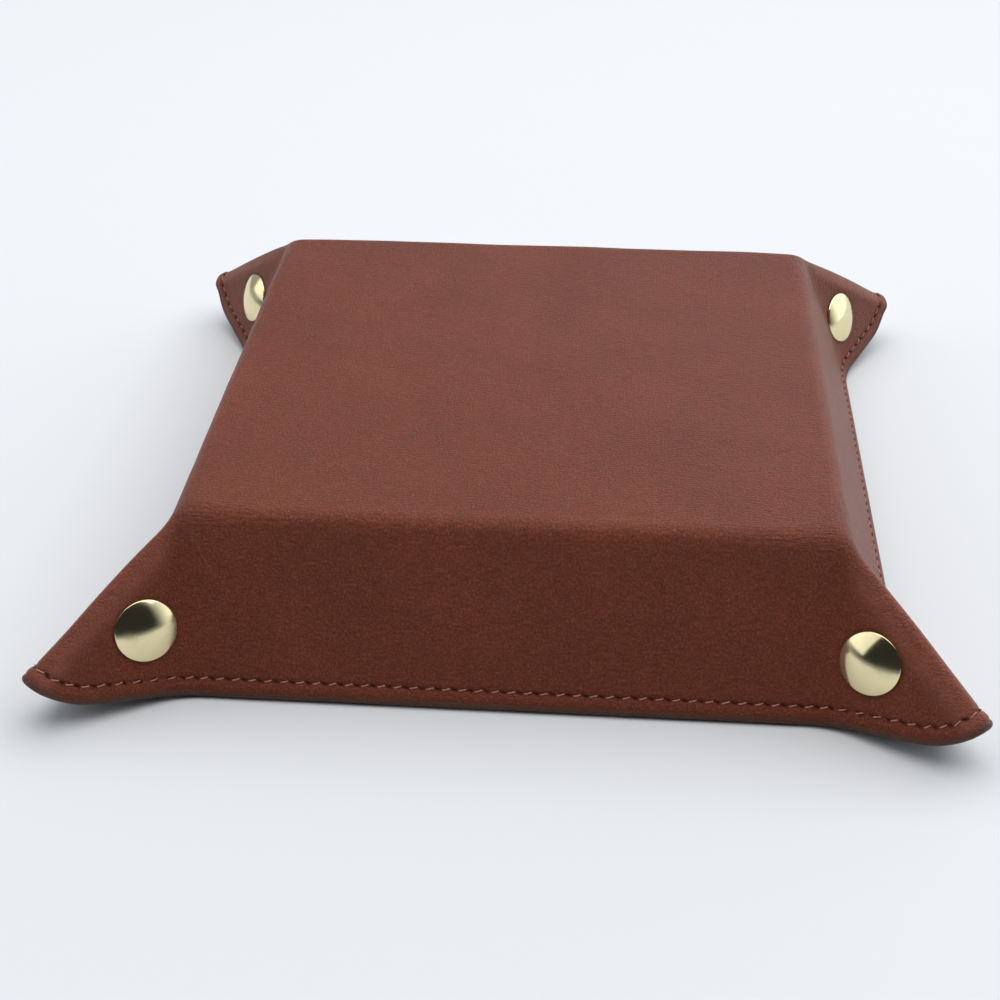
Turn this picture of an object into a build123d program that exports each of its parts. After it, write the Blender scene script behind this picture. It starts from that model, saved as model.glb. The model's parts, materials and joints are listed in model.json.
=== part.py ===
"""Snap-corner valet tray, lying upside down: base panel up, rim on the table.

Millimetres, +Z up, origin on the table under the middle of the base.

The tray is one square sheet, folded. Each fold line is an axis in the middle
of the sheet's thickness, and the sheet is cut there into panels that turn
about it: a base, four walls, and two half ears at each corner. The base has a
rounded edge about each axis, and each wall's hollow edge turns round it.

Every wall has its own plane: local X along the fold line, local Y down the
wall to the rim, local Z out of the leather. A half ear leaves its wall at
either end (side +1 or -1), and its plane is the wall's plane turned outwards
about the crease.
"""
from math import acos, asin, atan, cos, degrees, radians, sin, sqrt, tan
import os

from build123d import *

os.makedirs("parts", exist_ok=True)

# Folded sheet
base_side = 153.0            # from fold line to opposite fold line
wall_width = 43.5            # from fold line to rim
wall_slope = 68.0            # degrees, of the wall below the base panel
ear_corner_radius = 23.0     # of the sheet's four corners
fold_clearance = 0.3         # between panels that turn on one fold line
ridge_clearance = 0.3        # between the two halves of an ear
apex_relief = 3.5            # left open round the point where five folds meet

# Layers, outside to inside
leather_thickness = 1.2
board_thickness = 0.8
lining_thickness = 1.0

# Edges
base_turn = 2.4              # leather turned under round the base
base_round_share = 0.97      # of half the sheet's thickness, at the base's edge
hem_width = 6.5              # leather turned under along the rim
wall_board_setback = 2.0     # board and lining, from the fold line
board_end_inset = 3.0        # wall board, from each crease
lining_rim_inset = 0.4       # lining, short of the leather's rim
lining_apex_relief = 8.0
leather_rim_radius = 0.9
lining_rim_radius = 0.4

# Stitching
stitch_inset = 4.4           # thread line, from the rim
thread_width = 0.8
thread_height = 0.55
thread_groove_depth = 0.4
thread_fit = 0.05            # groove wall to thread
thread_end_inset = 0.5       # thread, short of each panel's end

# Snaps
snap_space_top = 14.9        # along the crease, where an ear grows wide enough for a snap
snap_across = 8.6            # from the crease
cap_radius = 7.5
cap_rise = 2.6               # crown above the leather
cap_rim_height = 0.6
cap_wall = 0.5
cap_post_radius = 1.6
post_fit = 0.1               # hole in leather and lining to post
snap_flange_radius = 4.6
snap_flange_height = 1.0
post_seat_depth = 0.5        # end of the cap's post, let into the flange
socket_outer_radius = 3.3
socket_cup_radius = 2.4
stud_ball_radius = 2.0
stud_neck_radius = 1.2

# Sizes that follow
sheet_thickness = leather_thickness + board_thickness + lining_thickness
half_sheet = sheet_thickness / 2
leather_under = half_sheet - leather_thickness
board_under = leather_under - board_thickness
edge_reach = half_sheet + fold_clearance
half_base = base_side / 2
slope = radians(wall_slope)
ear_bend = acos(cos(slope) / sqrt(1 + sin(slope) ** 2)) - atan(sin(slope))
ridge_angle = acos((cos(ear_bend) * sin(slope) + sin(ear_bend)) / sqrt(2))
crease_setback = half_sheet * tan(ear_bend / 2) + fold_clearance / 2
ridge_setback = ridge_clearance / 2
ear_lining_under = leather_under - lining_thickness
lining_ridge_setback = (-ear_lining_under / tan(ridge_angle)
                        + ridge_setback / sin(ridge_angle) + ridge_setback)
lining_rim_drop = ((wall_width - lining_rim_inset - lining_rim_radius) * sin(slope)
                   + (half_sheet - lining_rim_radius) * cos(slope) + lining_rim_radius)
leather_rim_drop = wall_width * sin(slope) - board_under * cos(slope)
fold_height = max(lining_rim_drop, leather_rim_drop)   # the lowest edge meets the table
snap_down = (snap_space_top + wall_width - stitch_inset) / 2   # midway to the stitches
snap_from_ridge = (snap_down - snap_across) / sqrt(2)
snap_meet = snap_from_ridge * tan(ridge_angle)   # both snap axes meet here

print(f"ear bend {degrees(ear_bend):.3f} deg, ridge half angle {degrees(ridge_angle):.3f} deg")
print(f"fold height {fold_height:.3f}, snap axes meet {snap_meet:.3f} inside the sheet")


def save(part, label):
    """Name one finished piece and write its file."""
    part.label = label
    export_step(part, f"parts/{label}.step")


def wall_plane(outward):
    """Plane of the wall on the base's outward side, origin on its fold line."""
    across = outward.cross(Vector(0, 0, 1))
    normal = outward * sin(slope) + Vector(0, 0, cos(slope))
    return Plane(outward * half_base + Vector(0, 0, fold_height), x_dir=across, z_dir=normal)


def ear_plane(wall, side):
    """Plane of the half ear at one end of a wall, origin at the base corner."""
    across = wall.x_dir * cos(ear_bend) + wall.z_dir * (side * sin(ear_bend))
    normal = wall.z_dir * cos(ear_bend) - wall.x_dir * (side * sin(ear_bend))
    return Plane(wall.origin + wall.x_dir * (side * half_base), x_dir=across, z_dir=normal)


def half_ear_outline(side, crease_gap, ridge_gap, apex_gap, rim_gap):
    """Edges of a half ear: crease, rim, rounded corner, ridge and open apex."""
    rim = wall_width - rim_gap
    centre = wall_width - ear_corner_radius
    radius = ear_corner_radius - rim_gap
    end = radians(45) + asin(ridge_gap / radius)
    middle = (radians(90) + end) / 2

    def on_corner(angle):
        return side * (centre + radius * cos(angle)), centre + radius * sin(angle)

    apex_x = max(apex_gap - ridge_gap * sqrt(2), crease_gap)
    apex_y = apex_x + ridge_gap * sqrt(2)
    corner_start = side * centre, rim
    Polyline(on_corner(end), (side * apex_x, apex_y), (side * crease_gap, apex_y),
             (side * crease_gap, rim), corner_start)
    ThreePointArc(corner_start, on_corner(middle), on_corner(end))


def ear_stitch_line(side):
    """Thread line of a half ear: along the rim, then round its corner."""
    centre = wall_width - ear_corner_radius
    radius = ear_corner_radius - stitch_inset
    end = radians(45) + asin((ridge_setback + thread_end_inset + thread_width) / radius)
    middle = (radians(90) + end) / 2
    turn = side * centre, wall_width - stitch_inset
    Line((side * (crease_setback + thread_end_inset), wall_width - stitch_inset), turn)
    ThreePointArc(turn,
                  (side * (centre + radius * cos(middle)), centre + radius * sin(middle)),
                  (side * (centre + radius * cos(end)), centre + radius * sin(end)))


# Base panel
base_plane = Plane.XY.offset(fold_height)
tray_side = base_side + sheet_thickness
pocket_side = base_side - 2 * base_turn

with BuildPart() as base_leather:
    with BuildSketch(base_plane.offset(-half_sheet)):
        RectangleRounded(tray_side, tray_side, half_sheet)
    extrude(amount=sheet_thickness)
    rims = base_leather.edges().group_by(Axis.Z)
    fillet(rims[0] + rims[-1], radius=half_sheet * base_round_share)
    with BuildSketch(base_plane.offset(-half_sheet)):
        Rectangle(pocket_side, pocket_side)
    extrude(amount=sheet_thickness - leather_thickness, mode=Mode.SUBTRACT)
save(base_leather.part, "base_leather")

with BuildPart() as base_board:
    with BuildSketch(base_plane.offset(board_under)):
        Rectangle(pocket_side, pocket_side)
    extrude(amount=board_thickness)
save(base_board.part, "base_board")

with BuildPart() as base_lining:
    with BuildSketch(base_plane.offset(-half_sheet)):
        Rectangle(pocket_side, pocket_side)
    extrude(amount=lining_thickness)
save(base_lining.part, "base_lining")


def build_wall(name, plane):
    """The four pieces of one wall."""
    wall_end = half_base - crease_setback
    board_end = half_base - board_end_inset
    hem_top = wall_width - hem_width
    stitch_start = Vector(-(wall_end - thread_end_inset), wall_width - stitch_inset)
    stitch_stop = Vector(wall_end - thread_end_inset, wall_width - stitch_inset)

    with BuildPart() as leather:
        with BuildSketch(plane.offset(leather_under)):
            with Locations((0, wall_width / 2)):
                Rectangle(2 * wall_end, wall_width)
        extrude(amount=leather_thickness)
        with BuildSketch(plane.offset(board_under)):
            with Locations((0, wall_width)):
                Rectangle(2 * wall_end, hem_width, align=(Align.CENTER, Align.MAX))
        extrude(amount=board_thickness)
        rim = leather.faces().sort_by(Axis(plane.origin, plane.y_dir))[-1]
        fillet(rim.edges().sort_by(Axis(plane.origin, plane.z_dir))[-1],
               radius=leather_rim_radius)
        with BuildSketch(Plane(plane.origin - plane.x_dir * half_base,
                               x_dir=plane.y_dir, z_dir=plane.x_dir)):
            Circle(edge_reach)
        extrude(amount=base_side, mode=Mode.SUBTRACT)
        with BuildSketch(plane.offset(half_sheet)):
            with BuildLine():
                Line(stitch_start, stitch_stop)
            trace(line_width=thread_width + 2 * thread_fit)
        extrude(amount=-thread_groove_depth, mode=Mode.SUBTRACT)
    save(leather.part, f"{name}_wall_leather")

    with BuildPart() as board:
        with BuildSketch(plane.offset(board_under)):
            with Locations((0, wall_board_setback)):
                Rectangle(2 * board_end, hem_top - wall_board_setback,
                          align=(Align.CENTER, Align.MIN))
        extrude(amount=board_thickness)
    save(board.part, f"{name}_wall_board")

    with BuildPart() as lining:
        with BuildSketch(plane.offset(-half_sheet)):
            with Locations((0, wall_board_setback)):
                Rectangle(2 * wall_end, wall_width - lining_rim_inset - wall_board_setback,
                          align=(Align.CENTER, Align.MIN))
        extrude(amount=lining_thickness)
        rim = lining.faces().sort_by(Axis(plane.origin, plane.y_dir))[-1]
        fillet(rim.edges().sort_by(Axis(plane.origin, plane.z_dir))[0],
               radius=lining_rim_radius)
    save(lining.part, f"{name}_wall_lining")

    with BuildPart() as thread:
        with BuildSketch(plane.offset(half_sheet - thread_groove_depth)):
            with BuildLine():
                Line(stitch_start, stitch_stop)
            trace(line_width=thread_width)
        extrude(amount=thread_height)
    save(thread.part, f"{name}_wall_thread")


def build_half_ear(name, plane, side):
    """Leather, lining and thread of one half ear."""
    snap = (side * snap_across, snap_down)

    with BuildPart() as leather:
        with BuildSketch(plane.offset(leather_under)):
            with BuildLine():
                half_ear_outline(side, crease_setback, ridge_setback, apex_relief, 0)
            make_face()
            with Locations(snap):
                Circle(cap_post_radius + post_fit, mode=Mode.SUBTRACT)
        extrude(amount=leather_thickness)
        with BuildSketch(plane.offset(half_sheet)):
            with BuildLine():
                ear_stitch_line(side)
            trace(line_width=thread_width + 2 * thread_fit)
        extrude(amount=-thread_groove_depth, mode=Mode.SUBTRACT)
    save(leather.part, f"{name}_leather")

    with BuildPart() as lining:
        with BuildSketch(plane.offset(ear_lining_under)):
            with BuildLine():
                half_ear_outline(side, crease_setback, lining_ridge_setback,
                                 lining_apex_relief, lining_rim_inset)
            make_face()
            with Locations(snap):
                Circle(cap_post_radius + post_fit, mode=Mode.SUBTRACT)
        extrude(amount=lining_thickness)
    save(lining.part, f"{name}_lining")

    with BuildPart() as thread:
        with BuildSketch(plane.offset(half_sheet - thread_groove_depth)):
            with BuildLine():
                ear_stitch_line(side)
            trace(line_width=thread_width)
        extrude(amount=thread_height)
    save(thread.part, f"{name}_thread")


def snap_profile_plane(plane, side):
    """Half-section plane of a snap: X away from its axis, Y out of the leather."""
    centre = plane.origin + plane.x_dir * (side * snap_across) + plane.y_dir * snap_down
    return Plane(centre, x_dir=plane.x_dir, z_dir=plane.x_dir.cross(plane.z_dir))


def build_cap(name, plane, side):
    """Domed cap with its post, which runs through leather and lining."""
    section = snap_profile_plane(plane, side)
    post_end = ear_lining_under - post_seat_depth
    rim = half_sheet + cap_rim_height
    crown = half_sheet + cap_rise
    with BuildPart() as cap:
        with BuildSketch(section):
            with BuildLine():
                Polyline((0, crown), (0, post_end), (cap_post_radius, post_end),
                         (cap_post_radius, half_sheet), (cap_radius - cap_wall, half_sheet))
                RadiusArc((cap_radius - cap_wall, half_sheet), (cap_radius, rim), -cap_rim_height)
                dome_height = crown - rim
                dome_radius = (cap_radius ** 2 + dome_height ** 2) / (2 * dome_height)
                dome_angle = asin(cap_radius / dome_radius) / 2
                ThreePointArc((cap_radius, rim),
                              (dome_radius * sin(dome_angle),
                               crown - dome_radius * (1 - cos(dome_angle))), (0, crown))
            make_face()
        revolve(axis=Axis(section.origin, section.y_dir))
    save(cap.part, f"{name}_cap")


def build_socket(name, plane, side):
    """Snap socket: a flange on the lining and a round cup, centred where the axes meet."""
    section = snap_profile_plane(plane, side)
    seat = ear_lining_under
    cup_turn = socket_cup_radius / sqrt(2)
    with BuildPart() as socket:
        with BuildSketch(section):
            with BuildLine():
                Polyline((0, socket_cup_radius - snap_meet), (0, seat - post_seat_depth),
                         (cap_post_radius, seat - post_seat_depth), (cap_post_radius, seat),
                         (snap_flange_radius, seat),
                         (snap_flange_radius, seat - snap_flange_height),
                         (socket_outer_radius, seat - snap_flange_height),
                         (socket_outer_radius, -snap_meet), (socket_cup_radius, -snap_meet))
                ThreePointArc((socket_cup_radius, -snap_meet), (cup_turn, cup_turn - snap_meet),
                              (0, socket_cup_radius - snap_meet))
            make_face()
        revolve(axis=Axis(section.origin, section.y_dir))
    save(socket.part, f"{name}_socket")


def build_stud(name, plane, side):
    """Snap stud: a flange on the lining, a neck and a ball, centred where the axes meet."""
    section = snap_profile_plane(plane, side)
    seat = ear_lining_under
    ball_top = sqrt(stud_ball_radius ** 2 - stud_neck_radius ** 2) - snap_meet
    with BuildPart() as stud:
        with BuildSketch(section):
            with BuildLine():
                Polyline((0, -stud_ball_radius - snap_meet), (0, seat - post_seat_depth),
                         (cap_post_radius, seat - post_seat_depth), (cap_post_radius, seat),
                         (snap_flange_radius, seat),
                         (snap_flange_radius, seat - snap_flange_height),
                         (stud_neck_radius, seat - snap_flange_height),
                         (stud_neck_radius, ball_top))
                ThreePointArc((stud_neck_radius, ball_top), (stud_ball_radius, -snap_meet),
                              (0, -stud_ball_radius - snap_meet))
            make_face()
        revolve(axis=Axis(section.origin, section.y_dir))
    save(stud.part, f"{name}_stud")


# Walls and ears, in order round the base, with the walls met at local X < 0 and X > 0
walls = {
    "right": (Vector(1, 0, 0), "rear", "front"),
    "rear": (Vector(0, 1, 0), "left", "right"),
    "left": (Vector(-1, 0, 0), "front", "rear"),
    "front": (Vector(0, -1, 0), "right", "left"),
}
for wall_name, (outward, low_end, high_end) in walls.items():
    wall = wall_plane(outward)
    build_wall(wall_name, wall)
    for end_name, side in ((low_end, -1), (high_end, 1)):
        ear_name = f"{wall_name}_ear_{end_name}"
        ear = ear_plane(wall, side)
        build_half_ear(ear_name, ear, side)
        build_cap(ear_name, ear, side)
        if wall_name in ("front", "rear"):
            build_socket(ear_name, ear, side)
        else:
            build_stud(ear_name, ear, side)
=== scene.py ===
"""Valet tray of folded leather, lying upside down on its rim.

Metres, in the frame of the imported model. The outer leather and the lining are
made as one flat square sheet each, cut into pieces that meet edge to edge, and
every point of a piece is carried to its folded place by FoldedSheet. Flat
coordinates have the middle of the base at zero. The finishes of the sheet work
in millimetres.
"""
import json
from math import acos, asin, atan2, cos, pi, radians, sin, sqrt

import bpy
import numpy as np
from mathutils import Matrix, Vector


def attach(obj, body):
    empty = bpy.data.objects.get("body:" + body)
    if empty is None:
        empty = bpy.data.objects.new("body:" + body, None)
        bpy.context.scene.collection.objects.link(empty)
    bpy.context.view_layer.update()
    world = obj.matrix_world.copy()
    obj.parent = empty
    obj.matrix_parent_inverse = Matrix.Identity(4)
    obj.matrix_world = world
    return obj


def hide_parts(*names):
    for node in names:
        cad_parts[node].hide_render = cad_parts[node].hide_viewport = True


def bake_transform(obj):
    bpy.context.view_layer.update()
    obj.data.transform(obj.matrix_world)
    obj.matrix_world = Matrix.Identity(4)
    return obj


bl_info = {
    "name": "Valet Tray",
    "version": (1, 0, 0),
    "blender": (4, 5, 0),
    "location": "View3D > Sidebar > Tray",
    "description": "Builds a snap-corner leather valet tray round its packed model",
    "category": "Add Mesh",
}

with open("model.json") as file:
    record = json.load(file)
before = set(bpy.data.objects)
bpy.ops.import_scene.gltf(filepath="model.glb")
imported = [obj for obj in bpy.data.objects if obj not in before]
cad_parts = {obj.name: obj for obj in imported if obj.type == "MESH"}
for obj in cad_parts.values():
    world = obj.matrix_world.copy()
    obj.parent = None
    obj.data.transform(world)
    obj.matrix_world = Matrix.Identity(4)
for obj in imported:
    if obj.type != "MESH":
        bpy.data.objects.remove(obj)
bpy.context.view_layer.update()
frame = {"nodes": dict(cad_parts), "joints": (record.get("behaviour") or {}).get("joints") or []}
HINGES = {joint["name"]: joint for joint in frame["joints"]}
FOLD = HINGES["right_wall_fold"]
HALF_BASE, _, FOLD_HEIGHT = FOLD["pos_m"]
SLOPE = radians(FOLD["range_deg"][1])
EAR_BEND = acos(cos(SLOPE) / sqrt(1 + sin(SLOPE) ** 2)) - asin(sin(SLOPE) / sqrt(1 + sin(SLOPE) ** 2))
WALLS = ("right", "rear", "left", "front")
CORNERS = (("front", "left"), ("front", "right"), ("rear", "left"), ("rear", "right"))
SIGNS = {"right": 1, "rear": 1, "left": -1, "front": -1}
WALL_BEND, CREASE_BEND, RIDGE_BEND = 0.0022, 0.0032, 0.0030
MM = 1000
SEAM_INPUTS = {"Pitch": "pitch", "Stitch Length": "stitch", "Thread Radius": "thread",
               "Slant": "slant", "Variation": "variation", "Seed": "seed"}


def amount(name, description, default, **kind):
    """A property that holds a number of some kind."""
    return bpy.props.FloatProperty(name=name, description=description, default=default, **kind)


def length(name, description, default):
    """A property that holds a length."""
    return amount(name, description, default, min=0, precision=5, unit="LENGTH")


def growth(name, description, default):
    """A property that holds what a length gains over another."""
    return amount(name, description, default, min=0, subtype="FACTOR")


def colour(name, description, default):
    """A property that holds a linear colour."""
    return bpy.props.FloatVectorProperty(name=name, description=description, default=default,
                                         size=3, min=0, max=1, subtype="COLOR")


class TraySheet(bpy.types.PropertyGroup):
    """Sizes of the folded sheet."""

    wall_width: length("Wall width", "From a fold line to the rim", 0.0435)
    corner_radius: length("Corner radius", "Of the flat sheet's four corners", 0.023)
    fold_softness: length("Fold softness", "Reach of each fold to either side", 0.0025)
    fold_growth: growth("Fold growth", "How much softer a fold gets towards the rim", 0.04)
    ridge_growth: growth("Ridge growth", "How much rounder an ear's ridge gets towards its tip", 0.02)
    crease_growth: growth("Crease growth", "How much softer the bend into an ear gets towards the rim", 0.10)
    corner_softness: length("Corner softness", "What a fold's reach gains at the base's corners", 0.0015)
    corner_reach: length("Corner reach", "How far that gain spreads from a corner", 0.009)
    leather_face: length("Leather face", "Outer face, from the middle of the sheet", 0.0015)
    leather_back: length("Leather back", "Inner face, from the middle of the sheet", 0.0003)
    lining_depth: length("Lining depth", "Lining's inner face, from the middle of the sheet", 0.0015)
    lining_thickness: length("Lining thickness", "Of the lining leather", 0.0010)
    board_thickness: length("Board thickness", "Of the board that only the base and walls hold", 0.0008)
    lining_inset: length("Lining inset", "Lining, short of the leather's rim", 0.0004)
    hem_width: length("Hem width", "Leather turned under along the rim", 0.0065)
    hem_puff: length("Hem puff", "How far the hem swells between its stitches and the rim", 0.00028)
    rim_bead: length("Rim bead", "Width of the painted bead along the rim", 0.0017)
    rim_round: length("Rim rounding", "Radius of the painted rim", 0.0015)
    flare: length("Flare", "How far the rim turns outwards", 0.0008)
    flare_width: length("Flare width", "How far from the rim it starts to turn", 0.006)
    bulge: length("Bulge", "How far an ear swells between its cap and its ridge", 0.00070)
    unevenness: length("Unevenness", "Height of the slow waves of the hide", 0.00012)


class TrayStitches(bpy.types.PropertyGroup):
    """Sizes of the hem stitching."""

    inset: length("Inset", "Stitch line, from the rim", 0.0044)
    pitch: length("Pitch", "From stitch to stitch", 0.0038)
    stitch: length("Stitch length", "What shows of one stitch", 0.0022)
    thread: length("Thread radius", "Of the sewing thread", 0.00028)
    slant: amount("Slant", "Of each stitch to the stitch line", radians(16), unit="ROTATION")
    variation: amount("Variation", "Of the slant, from stitch to stitch", 0.06, unit="ROTATION")
    slit: length("Needle slit", "Length of the slanted cut between two stitches", 0.0016)
    groove: length("Groove", "How deep the stitches pull the leather in", 0.00028)
    seed: bpy.props.IntProperty(name="Seed", description="Of the stitches' small differences", default=4)


class TrayCaps(bpy.types.PropertyGroup):
    """Sizes of the snap caps."""

    radius: length("Radius", "Of a cap", 0.0075)
    crown: length("Crown", "Top of a cap above the leather", 0.0022)
    shoulder: length("Shoulder", "Rounding between the dome and its edge", 0.0005)
    edge: length("Edge", "Height of the upright edge above the leather", 0.00015)
    down: length("Down", "Cap, from the base corner along the crease", 0.0270)
    across: length("Across", "Cap, from the crease", 0.0086)
    press: length("Press", "How deep a cap pulls the leather in", 0.00018)


class TrayColours(bpy.types.PropertyGroup):
    """Colours of the finishes, linear."""

    leather: colour("Leather", "Dyed outer leather", (0.252, 0.054, 0.0220))
    # Lighter leather: wear on the folds, painted sheen along the ears' ridges and painted sparkle specks on
    # the grain.
    leather_wear_and_sheen: colour("Leather, worn", "Where folds have rubbed it lighter", (0.290, 0.100, 0.068))
    rim_paint: colour("Rim paint", "Painted edge of the rim", (0.095, 0.040, 0.026))
    lining: colour("Lining", "Inner leather", (0.120, 0.045, 0.027))
    board: colour("Board", "Stiffening board", (0.30, 0.23, 0.16))
    thread: colour("Thread", "Sewing thread", (0.50, 0.21, 0.16))
    cap: colour("Cap metal", "Polished brass", (0.80, 0.70, 0.42))
    snap: colour("Snap metal", "Brass of the sockets and studs", (0.66, 0.54, 0.30))
    floor: colour("Floor", "Paper the tray lies on", (0.77, 0.79, 0.82))


def hill(values, width):
    """1 where the values are zero, falling to nothing over the width."""
    return np.exp(-(values / width) ** 2)


def rolled(distance, radius):
    """How far a rounded edge has dropped, so far from its end."""
    curl = radius - np.minimum(distance, radius)
    return radius - np.sqrt(radius ** 2 - curl ** 2)


def unit(vectors):
    """Vectors made one long."""
    return vectors / np.maximum(np.linalg.norm(vectors, axis=-1, keepdims=True), 1e-12)


def added(name, data):
    """A new object that holds the data, linked to the scene."""
    thing = bpy.data.objects.new(name, data)
    bpy.context.scene.collection.objects.link(thing)
    return thing


def smooth_mesh(name, points, faces, material):
    """A smooth mesh with one finish."""
    mesh = bpy.data.meshes.new(name)
    mesh.from_pydata(points, [], faces)
    mesh.materials.append(material)
    mesh.shade_smooth()
    return mesh


class FoldedSheet:
    """Carries flat coordinates of the sheet to their place in the folded tray."""

    def __init__(self, scene):
        self.sizes, self.stitches, self.caps = scene.tray_sheet, scene.tray_stitches, scene.tray_caps
        self.spread = self.disc(300, atan2(1 + sqrt(5), 2))

    @staticmethod
    def disc(count, turn):
        """Spots spread evenly over a disc, on a lattice turned so that few of them line up with a fold."""
        pitch, reach, x_start, y_start = sqrt(pi / count), 20, 0.31, 0.17
        lines = np.arange(-reach, reach + 1) * pitch
        x, y = np.meshgrid(lines + x_start * pitch, lines + y_start * pitch)
        spots = np.stack([x * cos(turn) - y * sin(turn), x * sin(turn) + y * cos(turn)], -1).reshape(-1, 2)
        spots = spots[np.hypot(*spots.T) <= 1]
        return spots - spots.mean(0)

    def past_folds(self, x, y):
        """How far a point lies past the nearer and the farther of its two fold lines."""
        side, end = np.abs(x) - HALF_BASE, np.abs(y) - HALF_BASE
        return np.minimum(side, end), np.maximum(side, end)

    def sharp(self, x, y):
        """Middle of the sheet if every fold were a sharp line."""
        side, end = np.abs(x) - HALF_BASE, np.abs(y) - HALF_BASE
        near = np.maximum(np.minimum(side, end), 0)
        far = np.maximum(np.maximum(side, end), 0)
        out = far * cos(SLOPE) + near * sin(EAR_BEND) * sin(SLOPE)
        aside = near * cos(EAR_BEND)
        up = near * sin(EAR_BEND) * cos(SLOPE) - far * sin(SLOPE)
        px = np.minimum(np.abs(x), HALF_BASE) + np.where(side >= end, out, aside)
        py = np.minimum(np.abs(y), HALF_BASE) + np.where(side >= end, aside, out)
        return np.stack([np.copysign(px, x), np.copysign(py, y), FOLD_HEIGHT + up], -1)

    def past_cap(self, near, far):
        """How far a point lies from the middle of its ear half's cap."""
        return np.hypot(near - self.caps.across, far - self.caps.down)

    def soft(self, x, y):
        """Middle of the sheet with soft folds: the sharp sheet averaged over a small disc."""
        s, crease_side, cap_grip, grip_reach = self.sizes, 0.009, 0.65, 1.3 * self.caps.radius
        near, far = self.past_folds(x, y)
        gain = s.fold_growth + s.crease_growth * hill(near, crease_side)
        reach = (s.fold_softness + gain * np.maximum(far, 0) + s.ridge_growth * np.maximum(near, 0)
                 + s.corner_softness * hill(np.hypot(near, far), s.corner_reach))
        reach = reach * (1 - cap_grip * hill(self.past_cap(near, far), grip_reach))
        total = 0
        for along_x, along_y in self.spread:
            total = total + self.sharp(x + reach * along_x, y + reach * along_y)
        return total / len(self.spread)

    def place(self, x, y):
        """Middle of the sheet, and the direction out of the leather."""
        step = 0.00025
        along_x = self.soft(x + step, y) - self.soft(x - step, y)
        along_y = self.soft(x, y + step) - self.soft(x, y - step)
        return self.soft(x, y), unit(np.cross(along_x, along_y))

    def waves(self, x, y):
        """Slow waves of the hide, from -1 to 1."""
        long = np.sin(x * 118 + 1.3 + 1.1 * np.sin(y * 61)) * np.sin(y * 97 + 0.4 + np.sin(x * 47))
        short = np.sin(x * 231 + y * 149) * np.sin(y * 263 - x * 71 + 2)
        return (long + 0.5 * short) / 1.5

    def leather(self, x, y, rim):
        """Heights of the leather's outer and inner face. Rim is the distance from the rim."""
        s, stitches, caps = self.sizes, self.stitches, self.caps
        calm_rim, groove_width, bead_width, press_width, back_round = 0.008, 0.0006, 0.0003, 0.0013, 0.0002
        swell_side, swell_width, swell_start = 0.0038, 0.0020, 0.012
        near, far = self.past_folds(x, y)
        outer = s.leather_face - rolled(rim, s.rim_round) + self.flared(rim)
        outer = outer + s.unevenness * self.waves(x, y) * np.clip(rim / calm_rim, 0, 1)
        outer = outer - stitches.groove * hill(rim - stitches.inset, groove_width)
        hem = np.clip((rim - s.rim_bead) / (stitches.inset - s.rim_bead), 0, 1)
        outer = outer + s.hem_puff * (np.sin(hem * pi) ** 0.8 - 0.4 * hill(rim - s.rim_bead, bead_width))
        swell = hill((far - near) / sqrt(2) - swell_side, swell_width) * np.clip(near / swell_start, 0, 1)
        past_cap = np.maximum(self.past_cap(near, far) - caps.radius, 0)
        outer = outer + s.bulge * swell - caps.press * hill(past_cap, press_width)
        back = np.where(rim < s.hem_width, -s.board_thickness / 2, s.leather_back)
        return outer, back + rolled(rim, back_round) + self.flared(rim)

    def flared(self, rim):
        """How far the rim turns outwards."""
        s = self.sizes
        return s.flare * np.clip(1 - rim / s.flare_width, 0, 1) ** 2

    def lining(self, x, y, rim):
        """Heights of the lining's outer and inner face. It lies closer where there is no board."""
        s, board_end, hem_end, hem_fade, edge_round = self.sizes, 0.003, 0.006, 0.0015, 0.0004
        near, _ = self.past_folds(x, y)
        no_board = np.clip(near / board_end + 1, 0, 1) * np.clip((rim - hem_end) / hem_fade, 0, 1)
        inner = -s.lining_depth + s.board_thickness * no_board + self.flared(rim)
        roll = rolled(rim - s.lining_inset, edge_round)
        return inner + s.lining_thickness - roll * 0.3, inner + roll


def turned(wall, outward, along):
    """Flat coordinates of a point that is so far past the base's middle towards a wall, and along it."""
    return {"right": (outward, along), "rear": (-along, outward),
            "left": (-outward, -along), "front": (along, -outward)}[wall]


def wall_grid(wall, outward, along):
    """Flat coordinates of a rectangular grid on one wall."""
    return turned(wall, *np.meshgrid(outward, along, indexing="ij"))


def at_corner(end, side, past_side, past_end):
    """Flat coordinates of points so far past the two folds at a corner."""
    return SIGNS[side] * (HALF_BASE + past_side), SIGNS[end] * (HALF_BASE + past_end)


def ghosted(lines, before, after):
    """Lines of a grid, with a ghost line so far before and after them."""
    return np.concatenate([[lines[0] - before], lines, [lines[-1] + after]])


class Patch:
    """One grid of a piece: flat coordinates, distance from the rim and stitch number.

    Its first row, its outer columns and, unless it ends at the rim, its last
    row are ghosts. They only help to find the normals, so that shading runs on
    across the pieces' shared edges.
    """

    def __init__(self, x, y, rim, count, at_rim=False, flip=False):
        self.x, self.y, self.at_rim, self.flip = x, y, at_rim, flip
        self.rim, self.count = np.broadcast_to(rim, x.shape), np.broadcast_to(count, x.shape)

    def trimmed(self, values):
        """Values without the ghost rows and columns."""
        return values[1:len(values) - (not self.at_rim), 1:-1]

    def normals(self, points):
        """Normals of a grid of points by central differences."""
        out = np.cross(np.gradient(points, axis=0), np.gradient(points, axis=1))
        return unit(-out if self.flip else out)

    def cells(self, values):
        """The values at the four corners of each cell, in the order of its face."""
        first, last = slice(None, -1), slice(1, None)
        corners = [(first, first), (last, first), (last, last), (first, last)]
        picked = np.stack([values[at] for at in (reversed(corners) if self.flip else corners)], 2)
        return picked.reshape(-1, 4, *values.shape[2:])


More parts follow.
